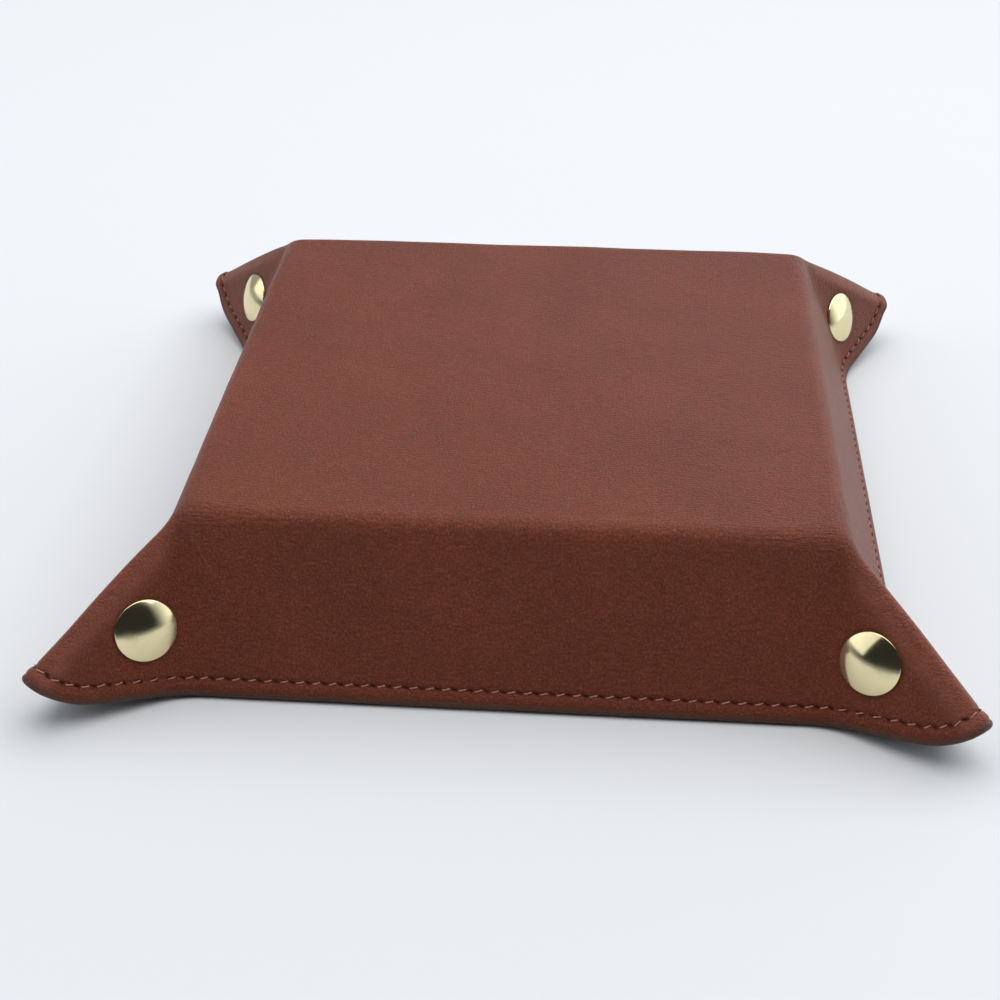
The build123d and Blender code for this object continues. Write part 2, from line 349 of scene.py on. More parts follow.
def skin(sheet, patches, heights):
    """Top and bottom points of a piece, then its faces, their facts and both sides' normals.

    The facts of a corner are its flat coordinates, stitch number and distance from the rim.
    """
    numbers, upper, lower, kinds = {}, [], [], []
    for patch in patches:
        middle, out = sheet.place(patch.x, patch.y)
        outer, inner = heights(patch.x, patch.y, patch.rim)
        top, bottom = middle + out * outer[..., None], middle + out * inner[..., None]
        x, y, rim, count, up, under, top, bottom = map(patch.trimmed, (
            patch.x, patch.y, patch.rim, patch.count, patch.normals(top), patch.normals(bottom), top, bottom))
        number = np.zeros(x.shape, int)
        for at in np.ndindex(*x.shape):
            key = (round(x[at] * 1e7), round(y[at] * 1e7))
            if key not in numbers:
                numbers[key] = len(upper)
                upper.append(top[at])
                lower.append(bottom[at])
            number[at] = numbers[key]
        kinds.append([patch.cells(v) for v in (number, np.stack([x, y, count, rim], -1), up, under)])
    faces, *rest = (np.concatenate(kind) for kind in zip(*kinds))
    whole = [len(set(face)) == 4 for face in faces.tolist()]
    return upper, lower, faces[whole], *(values[whole] for values in rest)


def sheet_piece(name, sheet, patches, heights, material):
    """A closed piece of sheet from patches that share their edge points."""
    upper, lower, tops, facts, up, under = skin(sheet, patches, heights)
    edges = {}
    for face, fact in zip(tops.tolist(), facts):
        for k in (1, 2, 3, 0):
            a, b = face[k - 1], face[k]
            if edges.pop((b, a), None) is None:
                edges[(a, b)] = (fact[k - 1], fact[k])
    points, shift = np.array(upper + lower), len(upper)
    sides = np.array([(b, a, a + shift, b + shift) for a, b in edges])
    side_facts = np.array([(fb, fa, fa, fb) for fa, fb in edges.values()])
    out = unit(np.cross(points[sides[:, 2]] - points[sides[:, 0]], points[sides[:, 3]] - points[sides[:, 1]]))
    faces = np.concatenate([tops, tops[:, ::-1] + shift, sides])
    mesh = smooth_mesh(name, points.tolist(), faces.tolist(), material)
    loops = np.concatenate([facts.reshape(-1, 4), facts[:, ::-1].reshape(-1, 4), side_facts.reshape(-1, 4)])
    width = sheet.sizes.wall_width
    places = {"sheet": loops[:, :2] / (2 * (HALF_BASE + width)) + 0.5,
              "rim": np.stack([loops[:, 2], loops[:, 3] / width], -1)}
    for layer, values in places.items():
        mesh.uv_layers.new(name=layer).uv.foreach_set("vector", values.astype(np.float32).ravel())
    mesh.normals_split_custom_set(np.concatenate([
        up.reshape(-1, 3), under[:, ::-1].reshape(-1, 3), np.repeat(out, 4, 0)]).tolist())
    return added(name, mesh)


class Layout:
    """Where the sheet is cut into pieces, and the lines of their grids.

    A wall's piece reaches by fold_in onto the base, and an end wall's ear by
    crease_in onto its wall. The two halves of an ear meet at the seam share.
    """

    fold_in, fold_out, crease_in = 0.004, 0.0025, 0.004
    crease_ghost, fan_ghost = 0.0005, 0.003
    seam_share, ridge_start_share, ridge_end_share = 0.6, 0.8, 1.2

    def __init__(self, scene, rim, fine):
        self.sizes, self.stitches = scene.tray_sheet, scene.tray_stitches
        spaced = lambda low, high, many, few: np.linspace(low, high, many if fine else few)
        self.roll = spaced(-self.fold_in, self.fold_out, 20, 12)
        self.step = self.roll[1] - self.roll[0]
        self.rim = np.concatenate([[rim[0] + self.step], rim])
        self.crease = spaced(-self.crease_in, 0, 9, 5)
        self.first_half = spaced(0, self.seam_share, 25, 13)
        self.over_ridge = np.concatenate([
            spaced(self.seam_share, self.ridge_start_share, 9, 5)[:-1],
            spaced(self.ridge_start_share, self.ridge_end_share, 41, 21),
            spaced(self.ridge_end_share, 2, 33, 17)[1:]])
        self.middle = spaced(-1, 1, 73, 31) * (HALF_BASE - self.crease_in)
        inside, past_shares = [-0.002, 0], [0.2, 0.6, 0.8, 1]
        if fine:
            inside, past_shares = [-0.003, -0.002, -0.001, 0], [0.2, 0.4, 0.6, 0.8, 1]
        ends = HALF_BASE + np.concatenate([inside, self.fold_out * np.array(past_shares)])
        self.fan = np.concatenate([-ends[::-1], self.middle, ends]) / (HALF_BASE + self.fold_out)

    def round_corner(self, rim, share):
        """Distances past the two folds of points on curves that follow the rim round a corner.

        Share runs along a curve from 0 at the first wall's crease to 1 on the ridge
        and 2 at the second wall's crease. Below 0 it is metres back onto the first wall.
        """
        rim, share = np.meshgrid(rim, share, indexing="ij")
        width, corner = self.sizes.wall_width, self.sizes.corner_radius
        straight, radius, down = width - corner, np.maximum(corner - rim, 0), width - rim
        half = np.where(share > 1, 2 - share, share)
        gone = half * np.where(radius > 0, straight + radius * pi / 4, down)
        angle = np.where(radius > 0, (gone - straight) / np.maximum(radius, 1e-9), 0)
        on_arc = (radius > 0) & (gone > straight)
        first = np.where(on_arc, straight + radius * np.sin(angle), gone)
        second = np.where(on_arc, straight + radius * np.cos(angle), down)
        first = np.where(half < 0, half, first)
        return np.where(share > 1, second, first), np.where(share > 1, first, second)

    def stitch_count(self, share_span, wall_span):
        """Whole stitches on a stretch of the stitch line, and its length."""
        width, corner = self.sizes.wall_width, self.sizes.corner_radius
        quarter = width - corner + (corner - self.stitches.inset) * pi / 4
        span = quarter * share_span + wall_span
        return max(1, round(span / self.stitches.pitch)), span

    def base(self):
        """The base panel, inside the four rolls."""
        step = self.fan[-1] - self.fan[-2]
        lines = ghosted(self.fan, step, step) * (HALF_BASE - self.fold_in)
        x, y = np.meshgrid(lines, lines, indexing="ij")
        return [Patch(x, y, 1.1 * self.sizes.wall_width, 0)]

    def wall(self, wall, open_crease):
        """One wall with its roll over the base's edge. With an open crease it reaches the crease's middle."""
        roll = ghosted(self.roll, self.step, self.step)
        fan = ghosted(self.fan, self.fan_ghost, self.fan_ghost)
        out, share = np.meshgrid(HALF_BASE + roll, fan, indexing="ij")
        x, y = turned(wall, out, share * out)
        patches = [Patch(x, y, self.sizes.wall_width + HALF_BASE - out, 0)]
        along = self.middle
        if open_crease:
            ends = HALF_BASE + self.crease[1:]
            along = np.concatenate([-ends[::-1], along, ends])
        count, span = self.stitch_count(0, 2 * along[-1])
        along = ghosted(along, self.crease_ghost, self.crease_ghost)
        x, y = wall_grid(wall, HALF_BASE + self.sizes.wall_width - self.rim, along)
        patches.append(Patch(x, y, self.rim[:, None], (along + span / 2) / span * count, True))
        return patches

    def corner(self, end, side, share, wall_part):
        """Part of the corner between an end wall (front or rear) and a side wall (left or right)."""
        after = self.crease_ghost if share[-1] == 2 else share[-1] - share[-2]
        wide = ghosted(share, share[1] - share[0], after)
        x, y = at_corner(end, side, *self.round_corner(self.rim, wide))
        start = max(share[0], 0)
        whole = share[-1] - start
        count, span = self.stitch_count(whole, wall_part)
        gone = np.where(wide < 0, wide + wall_part, wall_part + (wide - start) * (span - wall_part) / whole)
        flip = SIGNS[end] * SIGNS[side] > 0
        return [Patch(x, y, self.rim[:, None], gone / span * (-count if flip else count), True, flip)]

    def ear_halves(self, end, side):
        """Name, lines, strip of wall, bodies and bend of both halves of an ear.

        An end wall's half starts with a strip of its wall, and stops short of the ridge.
        """
        first, second = f"{end}_ear_{side}", f"{side}_ear_{end}"
        lines = np.concatenate([self.crease[:-1], self.first_half])
        return ((first, lines, self.crease_in, (f"{end}_wall", first), crease_fold(end, side)),
                (second, self.over_ridge, 0, (first, second), ridge_fold(end, side)))


def bend(middle, along, reach):
    """Start and end points of a bend that reaches so far to either side of its middle."""
    return middle - along * reach, middle + along * reach


def crease_fold(end, side):
    """The bend between an end wall and its ear."""
    apex = Vector(HINGES[f"{end}_ear_{side}_fold"]["pos_m"])
    across = Vector((SIGNS[side], 0, 0))
    out = Vector((0, SIGNS[end] * sin(SLOPE), cos(SLOPE)))
    return bend(apex, across * cos(EAR_BEND / 2) + out * sin(EAR_BEND / 2), CREASE_BEND)


def ridge_fold(end, side):
    """The bend over an ear's ridge."""
    apex = Vector(HINGES[f"{end}_ear_{side}_fold"]["pos_m"])
    return bend(apex, Vector((SIGNS[side], -SIGNS[end], 0)).normalized(), RIDGE_BEND)


def lay_sheet(scene, layer, rim, fine, material):
    """All thirteen pieces of one layer of the sheet; only the base is put on its body."""
    sheet = FoldedSheet(scene)
    layout = Layout(scene, rim, fine)
    heights = {"leather": sheet.leather, "lining": sheet.lining}[layer]

    def make(name, patches):
        piece = sheet_piece(f"{layer}_{name}", sheet, patches, heights, material)
        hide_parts(f"{name}_{layer}")
        return piece

    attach(make("base", layout.base()), "base")
    for wall in WALLS:
        name = f"{wall}_wall"
        piece = make(name, layout.wall(wall, wall in ("left", "right")))
        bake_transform(piece)
    for end, side in CORNERS:
        for name, share, strip, bodies, fold in layout.ear_halves(end, side):
            piece = make(name, layout.corner(end, side, share, strip))
            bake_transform(piece)


def both_ways(operation):
    """An operator of Value and its reflected form."""
    return (lambda self, other: self.math(operation, other),
            lambda self, other: Value(self.tree, other).math(operation, self))


class Value:
    """A number or socket in a node tree. Arithmetic on it adds Math nodes."""

    def __init__(self, tree, source):
        self.tree, self.source = tree, source

    def math(self, operation, *others):
        """A Math node on this and the others."""
        return self.tree.made("ShaderNodeMath", enumerate([self, *others]), operation=operation)

    __add__, __radd__ = both_ways("ADD")
    __sub__, __rsub__ = both_ways("SUBTRACT")
    __mul__, __rmul__ = both_ways("MULTIPLY")
    __truediv__, __rtruediv__ = both_ways("DIVIDE")

    def __abs__(self):
        return self.math("ABSOLUTE")

    def __neg__(self):
        return self.math("MULTIPLY", -1.0)

    def hill(self, width):
        """1 where this is zero, falling to nothing over the width."""
        share = self / width
        return (-(share * share)).math("EXPONENT")

    def step(self, low, high):
        """0 below low, 1 above high, smooth between them."""
        return self.tree.made("ShaderNodeMapRange", {"Value": self, "From Min": low, "From Max": high},
                              interpolation_type="SMOOTHSTEP")


class Tree:
    """A node tree that is written as expressions."""

    def __init__(self, nodes):
        self.nodes = nodes

    def add(self, kind, inputs=(), **settings):
        """One node: its type, the values or links of its sockets, and its settings, which are set first."""
        node = self.nodes.nodes.new(kind)
        for name, value in settings.items():
            setattr(node, name, value)
        for name, value in dict(inputs).items():
            self.plug(node.inputs[name], value)
        return node

    def plug(self, socket, value):
        """Give a socket its value or its link."""
        value = value.source if isinstance(value, Value) else value
        if isinstance(value, bpy.types.NodeSocket):
            self.nodes.links.new(value, socket)
        else:
            socket.default_value = value

    def made(self, kind, inputs=(), output=0, **settings):
        """One output of a new node, as a value."""
        return Value(self, self.add(kind, inputs, **settings).outputs[output])

    def split(self, vector):
        """The three numbers of a vector."""
        return [Value(self, axis) for axis in self.add("ShaderNodeSeparateXYZ", {0: vector}).outputs]


class Finish(Tree):
    """A material with one Principled shader."""

    def __init__(self, name, specular, **constants):
        self.material = bpy.data.materials.new(name)
        self.material.use_nodes = True
        super().__init__(self.material.node_tree)
        self.nodes.nodes.clear()
        self.shader = self.add("ShaderNodeBsdfPrincipled", {"Specular IOR Level": specular, **constants})
        self.add("ShaderNodeOutputMaterial", {"Surface": self.shader.outputs[0]})

    def mix(self, share, first, second):
        """A colour between two colours."""
        first, second = (c if isinstance(c, Value) else (*c[:3], 1) for c in (first, second))
        return self.made("ShaderNodeMix", {0: share, 6: first, 7: second}, 2, data_type="RGBA")

    def place(self):
        """Object coordinates."""
        return self.made("ShaderNodeTexCoord", output="Object")

    def mapped(self, vector, scale, turn=(0, 0, 0)):
        """Coordinates that are turned and scaled."""
        return self.made("ShaderNodeMapping", {0: vector, "Rotation": turn, "Scale": scale})

    def noise(self, vector, scale, detail=2.0, roughness=0.5, dimensions="3D"):
        """Smooth noise from 0 to 1."""
        inputs = {"Vector": vector, "Scale": scale, "Detail": detail, "Roughness": roughness}
        return self.made("ShaderNodeTexNoise", inputs, noise_dimensions=dimensions)

    def done(self, tone, rough, height, distance, strength):
        """Feed the shader what varies over the surface, and return the material."""
        bump = self.made("ShaderNodeBump", {"Height": height, "Distance": distance, "Strength": strength})
        for name, value in (("Base Color", tone), ("Roughness", rough), ("Normal", bump)):
            self.plug(self.shader.inputs[name], value)
        return self.material


def dyed(colour, factor):
    """A colour made so many times as light."""
    return tuple(min(1, factor * c) for c in colour)


def sheet_places(finish, sizes):
    """Flat millimetres of the sheet, and the distances past the nearer and farther fold."""
    whole = 2 * MM * (HALF_BASE + sizes.wall_width)
    flat = finish.made("ShaderNodeVectorMath", {
        0: finish.made("ShaderNodeUVMap", uv_map="sheet"), 1: (whole, whole, 0),
        2: (-whole / 2, -whole / 2, 0)}, operation="MULTIPLY_ADD")
    side, end = (abs(axis) - MM * HALF_BASE for axis in finish.split(flat)[:2])
    return flat, side.math("MINIMUM", end), side.math("MAXIMUM", end)


def grain(finish, flat, cell):
    """Pebbled grain: high on the pebbles and low in the creases between them."""
    drift = finish.made("ShaderNodeTexNoise", {"Vector": flat, "Scale": 0.9 / cell, "Detail": 2.0},
                        "Color", noise_dimensions="2D")
    warped = finish.made("ShaderNodeVectorMath", {0: drift, 1: (cell,) * 3, 2: flat},
                         operation="MULTIPLY_ADD")
    cells = finish.made("ShaderNodeTexVoronoi", {"Vector": warped, "Scale": 1 / cell}, "Distance",
                        voronoi_dimensions="2D", feature="DISTANCE_TO_EDGE")
    return cells.step(0.0, 0.30)


def leather_finish(scene):
    """Smooth full-grain leather: pebble grain, clouded dye, wear on the folds, edge paint on the rim and
    needle slits, with painted sheen along the ears' ridges, painted sparkle specks and painted shade round
    the caps, in the stitch groove and in the slits.
    """
    colours, sizes = scene.tray_colours, scene.tray_sheet
    stitches, caps = scene.tray_stitches, scene.tray_caps
    finish = Finish("outer_leather", 0.20, **{"Sheen Weight": 0.10, "Sheen Roughness": 0.3})
    flat, near, far = sheet_places(finish, sizes)
    number, rim_share, _ = finish.split(finish.made("ShaderNodeUVMap", uv_map="rim"))
    rim = rim_share * (MM * sizes.wall_width)

    pebbles = grain(finish, flat, 0.95) * 0.65 + grain(finish, flat, 0.50) * 0.35
    grit = finish.noise(flat, 1.7, 3.0, 0.65, "2D")
    streaks = finish.noise(finish.mapped(flat, (0.35, 1.5, 1), (0, 0, radians(38))), 1.0, 3.0, 0.6, "2D")
    cloud = finish.noise(flat, 0.035, 3.0, 0.55, "2D")
    mottle = finish.noise(flat, 0.30, 4.0, 0.6, "2D")

    past_corner = near.step(-1.0, 1.0)
    fold_width, ridge_side, ridge_width, ridge_start = 2.4, 4.0, 4.0, 6.0
    fold = far.hill(fold_width) * (1 - past_corner)
    # A band beside each ear's ridge, where the lighter colour is painted sheen.
    ridge = (far - near - ridge_side).hill(ridge_width) * past_corner * near.step(0.0, ridge_start)
    # Lighter on the base folds by wear, and painted sheen along the ridges.
    wear_and_sheen = (fold * 0.06 + ridge * 0.42) * (0.55 + mottle * 0.9)
    wrinkle_depth, wrinkle_length = 5.0, 24.0
    stretched = finish.made("ShaderNodeCombineXYZ", {0: near * 0.22, 1: far * 1.5})
    wrinkles = finish.noise(stretched, 1.0, 3.0, 0.6, "2D")
    wrinkles = (wrinkles - 0.5) * far.hill(wrinkle_depth) * near.hill(wrinkle_length) * (1 - past_corner)

    over, down, line_width, line_end = 0.868, 0.497, 0.22, (9.0, 17.0)
    down_line = (far - 3.0) * over - (near + 1.5) * down
    line = (near * over + far * down + (mottle - 0.5) * 2.0).hill(line_width)
    line = line * down_line.step(0.0, 3.0) * (1 - down_line.step(*line_end)) * grit.step(0.35, 0.60)

    tilt, slit_width, groove_width, bead_fade, shade_width = radians(24), 0.36, 0.55, (0.35, 0.2), 0.9
    # Distance past the stitch line; the stitch groove along it is darkened in the colour as painted shade.
    past_stitches = rim - MM * stitches.inset
    along = (number - number.math("ROUND")) * (MM * stitches.pitch)
    slit_reach = MM / 2 * stitches.slit
    # Needle slits between the stitches: painted shade in the holes, dark in the colour, and also low in the
    # bump and rough.
    slit = (along * cos(tilt) - past_stitches * sin(tilt)).hill(slit_reach) * (
        along * sin(tilt) + past_stitches * cos(tilt)).hill(slit_width)
    bead = 1 - rim.step(MM * sizes.rim_bead - bead_fade[0], MM * sizes.rim_bead + bead_fade[1])
    to_cap = finish.made("ShaderNodeCombineXYZ", {0: near - MM * caps.across, 1: far - MM * caps.down})
    from_cap = finish.made("ShaderNodeVectorMath", {0: to_cap}, "Value", operation="LENGTH")
    shade = (from_cap - MM * caps.radius).hill(shade_width)

    times = lambda factor: dyed(colours.leather, factor)
    tone = finish.mix((cloud * 0.6 + mottle * 0.5 - 0.05).step(0.25, 0.80), times(0.84), times(1.12))
    pores = finish.mix(0.50, tone, times(0.18))
    tone = finish.mix((grit * 0.65 + streaks * 0.35).step(0.38, 0.62), pores, tone)
    # In turn over the dye: darker grain creases; lighter specks, which are painted sparkle; wear on the folds
    # with painted sheen on the ridges; lighter crease lines; painted shade round the caps; edge paint on the
    # rim; painted shade in the stitch groove; and the needle slits, painted dark as shade.
    for share, colour_over in (
            ((1 - pebbles) * 0.50, times(0.35)), (grit.step(0.56, 0.72) * 0.25, colours.leather_wear_and_sheen),
            (wear_and_sheen, colours.leather_wear_and_sheen), (line * 0.5, colours.leather_wear_and_sheen), (shade * 0.45, times(0.35)),
            (bead * 0.9, colours.rim_paint), (past_stitches.hill(groove_width) * 0.20, times(0.4)),
            (slit * 0.95, times(0.12))):
        tone = finish.mix(share, tone, colour_over)
    rough = 0.33 + mottle * 0.08 + (1 - pebbles) * 0.12 + grit * 0.08 - wear_and_sheen * 0.04 + slit * 0.5
    height = (pebbles * 0.55 + grit * 0.75 + streaks * 0.65 + mottle * 0.9
              + wrinkles * 3.0 + line * 0.8 - slit * 3.0)
    return finish.done(tone, rough, height, 0.00030, 0.85)


def lining_finish(scene):
    """Matt lining leather with a shallow, tight grain."""
    dye, finish = scene.tray_colours.lining, Finish("lining_leather", 0.35)
    flat, _, _ = sheet_places(finish, scene.tray_sheet)
    pebbles = grain(finish, flat, 0.45)
    nap = finish.noise(flat, 5.0, 3.0, 0.6, "2D")
    cloud = finish.noise(flat, 0.05, 3.0, 0.5, "2D")
    tone = finish.mix(cloud.step(0.3, 0.75), dyed(dye, 0.8), dye)
    tone = finish.mix((1 - pebbles) * 0.25, tone, dyed(dye, 0.5))
    return finish.done(tone, 0.68 + nap * 0.12, pebbles * 0.5 + nap * 0.5, 0.00005, 0.5)


def board_finish(scene):
    """Grey-brown fibre board."""
    grey, finish = scene.tray_colours.board, Finish("fibre_board", 0.2)
    place = finish.place()
    fibres = finish.noise(finish.mapped(place, (900.0, 160.0, 900.0)), 1.0, 4.0, 0.6)
    specks = finish.noise(place, 700.0, 2.0, 0.7)
    tone = finish.mix(fibres.step(0.3, 0.7), dyed(grey, 0.72), grey)
    tone = finish.mix(specks.step(0.62, 0.72) * 0.5, tone, dyed(grey, 0.4))
    return finish.done(tone, 0.80 + fibres * 0.12, fibres, 0.00008, 0.4)


def thread_finish(scene):
    """Waxed polyester thread with its twist."""
    dye, finish = scene.tray_colours.thread, Finish("sewing_thread", 0.4)
    place = finish.place()
    twist = finish.made("ShaderNodeTexWave", {
        "Vector": place, "Scale": 420.0, "Distortion": 1.5, "Detail": 1.0}, 1, bands_direction="DIAGONAL")
    tone = finish.mix(twist * 0.5, dye, dyed(dye, 0.55))
    tone = finish.mix(finish.noise(place, 130.0, 2.0).step(0.45, 0.75) * 0.4, tone, dyed(dye, 1.35))
    return finish.done(tone, 0.50 + twist * 0.15, twist, 0.00006, 0.6)


def brass_finish(name, metal, roughness, scratches):
    """Brass with faint polishing scratches and finger marks."""
    finish = Finish(name, 0.5, Metallic=1.0)
    place = finish.place()
    smear = finish.noise(place, 160.0, 4.0, 0.6)
    lines = finish.noise(finish.mapped(place, (5200.0, 240.0, 700.0), (0.4, 0.3, 0.7)), 1.0, 2.0)
    tone = finish.mix(smear.step(0.45, 0.75) * 0.35, metal, dyed(metal, 0.82))
    rough = roughness + smear.step(0.4, 0.8) * roughness + lines.step(0.6, 0.8) * 0.04
    return finish.done(tone, rough, lines + smear * 0.5, 0.00001, scratches)


def stitch_tree(thread):
    """Geometry Nodes: one slanted stitch at every pitch along a seam, sewn into the leather at both ends."""
    group = bpy.data.node_groups.new("hem_stitches", "GeometryNodeTree")
    socket = group.interface.new_socket
    socket("Geometry", in_out="INPUT", socket_type="NodeSocketGeometry")
    for name in SEAM_INPUTS:
        socket(name, in_out="INPUT", socket_type="NodeSocketInt" if name == "Seed" else "NodeSocketFloat")
    socket("Geometry", in_out="OUTPUT", socket_type="NodeSocketGeometry")
    tree = Tree(group)
    given = tree.add("NodeGroupInput").outputs
    pitch, stitch, radius, slant, variation, seed = (Value(tree, given[name]) for name in SEAM_INPUTS)
    seam = tree.made("GeometryNodeMeshToCurve", {0: given["Geometry"]})
    count = (tree.made("GeometryNodeCurveLength", {0: seam}) / pitch).math("ROUND") + 1
    places = tree.made("GeometryNodeResampleCurve", {"Curve": seam, "Count": count}, mode="COUNT")
    out = tree.made("GeometryNodeInputNamedAttribute", {"Name": "out"}, data_type="FLOAT_VECTOR")
    upright = tree.made("FunctionNodeAlignRotationToVector", {"Vector": out}, axis="Z")
    along = tree.made("FunctionNodeAlignRotationToVector", {
        "Rotation": upright, "Vector": tree.made("GeometryNodeInputTangent")}, axis="X", pivot_axis="Z")
    wobble = tree.made("FunctionNodeRandomValue", {
        2: -1.0, 3: 1.0, "ID": tree.made("GeometryNodeInputIndex"), "Seed": seed}, 1, data_type="FLOAT")
    turn = tree.made("FunctionNodeAxisAngleToRotation", {
        "Axis": (0, 0, 1), "Angle": slant + wobble * variation})
    turned_stitch = tree.made("FunctionNodeRotateRotation", {"Rotation": along, "Rotate By": turn},
                              rotation_space="LOCAL")

    def point(long_share, high_share):
        return tree.made("ShaderNodeCombineXYZ", {0: stitch * long_share, 2: radius * high_share})

    arc = tree.made("GeometryNodeCurvePrimitiveBezierSegment", {
        "Resolution": 9, "Start": point(-0.5, -1.5), "End": point(0.5, -1.5),
        "Start Handle": point(-0.40, 1.6), "End Handle": point(0.40, 1.6)}, mode="POSITION")
    taper = (tree.made("GeometryNodeSplineParameter") * pi).math("SINE") * 0.35 + 0.65
    arc = tree.made("GeometryNodeSetCurveRadius", {"Curve": arc, "Radius": taper})
    ring = tree.made("GeometryNodeCurvePrimitiveCircle", {"Resolution": 8, "Radius": radius})
    tube = tree.made("GeometryNodeCurveToMesh", {
        "Curve": arc, "Profile Curve": ring, "Scale": taper, "Fill Caps": True})
    sewn = tree.made("GeometryNodeInstanceOnPoints", {
        "Points": places, "Instance": tube, "Rotation": turned_stitch})
    real = tree.made("GeometryNodeRealizeInstances", {0: sewn})
    smooth = tree.made("GeometryNodeSetShadeSmooth", {0: real})
    done = tree.made("GeometryNodeSetMaterial", {"Geometry": smooth, "Material": thread})
    tree.add("NodeGroupOutput", {0: done})
    return group


def sew(name, sheet, x, y, count, tree, node):
    """So many stitches on one stretch of the stitch line, as a plain mesh. X and y are flat coordinates."""
    stitches, spots_per_stitch = sheet.stitches, 12
    gone = np.concatenate([[0], np.cumsum(np.hypot(np.diff(x), np.diff(y)))])
    wanted = np.linspace(gone[-1] * 0.5 / count, gone[-1] * (1 - 0.5 / count), spots_per_stitch * count)
    x, y = np.interp(wanted, gone, x), np.interp(wanted, gone, y)
    middle, out = sheet.place(x, y)
    outer, _ = sheet.leather(x, y, np.full_like(x, stitches.inset))
    points = middle + out * outer[:, None]
    mesh = bpy.data.meshes.new(name)
    mesh.from_pydata(points.tolist(), [(i, i + 1) for i in range(len(points) - 1)], [])
    upright = mesh.attributes.new("out", "FLOAT_VECTOR", "POINT")
    upright.data.foreach_set("vector", out.astype(np.float32).ravel())
    seam = added(name + "_seam", mesh)
    modifier = seam.modifiers.new("stitches", "NODES")
    modifier.node_group = tree
    for socket in tree.interface.items_tree:
        if socket.in_out == "INPUT" and socket.name in SEAM_INPUTS:
            modifier[socket.identifier] = getattr(stitches, SEAM_INPUTS[socket.name])
    graph = bpy.context.evaluated_depsgraph_get()
    sewn = bpy.data.meshes.new_from_object(
        seam.evaluated_get(graph), preserve_all_data_layers=True, depsgraph=graph)
    bpy.data.objects.remove(seam)
    if not sewn.polygons:
        raise RuntimeError(f"{name} came out empty")
    sewn.name = name
    piece = added(name, sewn)
    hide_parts(node)
    return piece


def cap_profile(caps):
    """Radius and height of a cap's section, from the crown to the middle of its seat."""
    reach, rise = caps.radius - caps.shoulder, caps.crown - caps.edge - caps.shoulder
    lean = 2 * atan2(rise, reach)
    ball = reach / sin(lean) + caps.shoulder
    middle = caps.crown - ball
    dome = [(ball * sin(turn), middle + ball * cos(turn)) for turn in np.linspace(0, lean, 26)]
    dome += [(reach + caps.shoulder * sin(turn), caps.edge + caps.shoulder * cos(turn))
             for turn in np.linspace(lean, pi / 2, 12)[1:]]
    seat, hub = -0.00012, 0.002
    return dome + [(radius, seat) for radius in (caps.radius, 0.8 * caps.radius, hub, 0.0)]


def spin_cap(name, caps, seat, out, material):
    """A domed cap, turned about its axis and set on the leather."""
    steps = 96
    place = Matrix.Translation(seat) @ out.to_track_quat("Z", "Y").to_matrix().to_4x4()
    turns = [2 * pi * k / steps for k in range(steps)]
    points, rings, faces = [], [], []
    for radius, height in cap_profile(caps):
        if radius < 1e-6:
            rings.append([len(points)] * steps)
            points.append(place @ Vector((0, 0, height)))
        else:
            rings.append(list(range(len(points), len(points) + steps)))
            points += [place @ Vector((radius * cos(turn), radius * sin(turn), height)) for turn in turns]
    for upper, lower in zip(rings, rings[1:]):
        for k in range(steps):
            face = [upper[k], lower[k], lower[(k + 1) % steps], upper[(k + 1) % steps]]
            faces.append(list(dict.fromkeys(face)))
    piece = added(name, smooth_mesh(name, points, faces, material))
    return piece


def dress(material, names):
    """Give carried-over CAD nodes a finish."""
    for name in names:
        node = frame["nodes"][name].data
        node.materials.clear()
        node.materials.append(material)


class TRAY_OT_leather(bpy.types.Operator):
    """Make the outer leather: base, walls and the two halves of each ear"""

    bl_idname = "tray.leather"
    bl_label = "Outer Leather"

    def execute(self, context):
        scene = context.scene
        width, hem = scene.tray_sheet.wall_width, scene.tray_sheet.hem_width
        stitch = scene.tray_stitches.inset
        rim = np.concatenate([
            np.linspace(width - Layout.fold_out, hem + 0.0006, 29), [hem + 0.0001, hem - 0.0001],
            np.linspace(hem - 0.0008, stitch + 0.0010, 3), np.linspace(stitch + 0.00075, stitch - 0.00075, 7),
            [0.0027, 0.0022, 0.0017, 0.0013, 0.00105, 0.0008, 0.0006, 0.0004, 0.00022, 0.0001, 0.00003, 0]])
        lay_sheet(scene, "leather", rim, True, leather_finish(scene))
        return {"FINISHED"}


class TRAY_OT_lining(bpy.types.Operator):
    """Make the lining under the outer leather"""

    bl_idname = "tray.lining"
    bl_label = "Lining"

    def execute(self, context):
        scene = context.scene
        width, inset = scene.tray_sheet.wall_width, scene.tray_sheet.lining_inset
        rim = np.concatenate([
            np.linspace(width - Layout.fold_out, 0.009, 18),
            [0.0078, 0.0072, 0.0066, 0.0060, 0.0045, 0.003, 0.002, 0.0013],
            inset + np.array([0.0004, 0.0003, 0.0002, 0.0001, 0.00004, 0])])
        lay_sheet(scene, "lining", rim, False, lining_finish(scene))
        return {"FINISHED"}


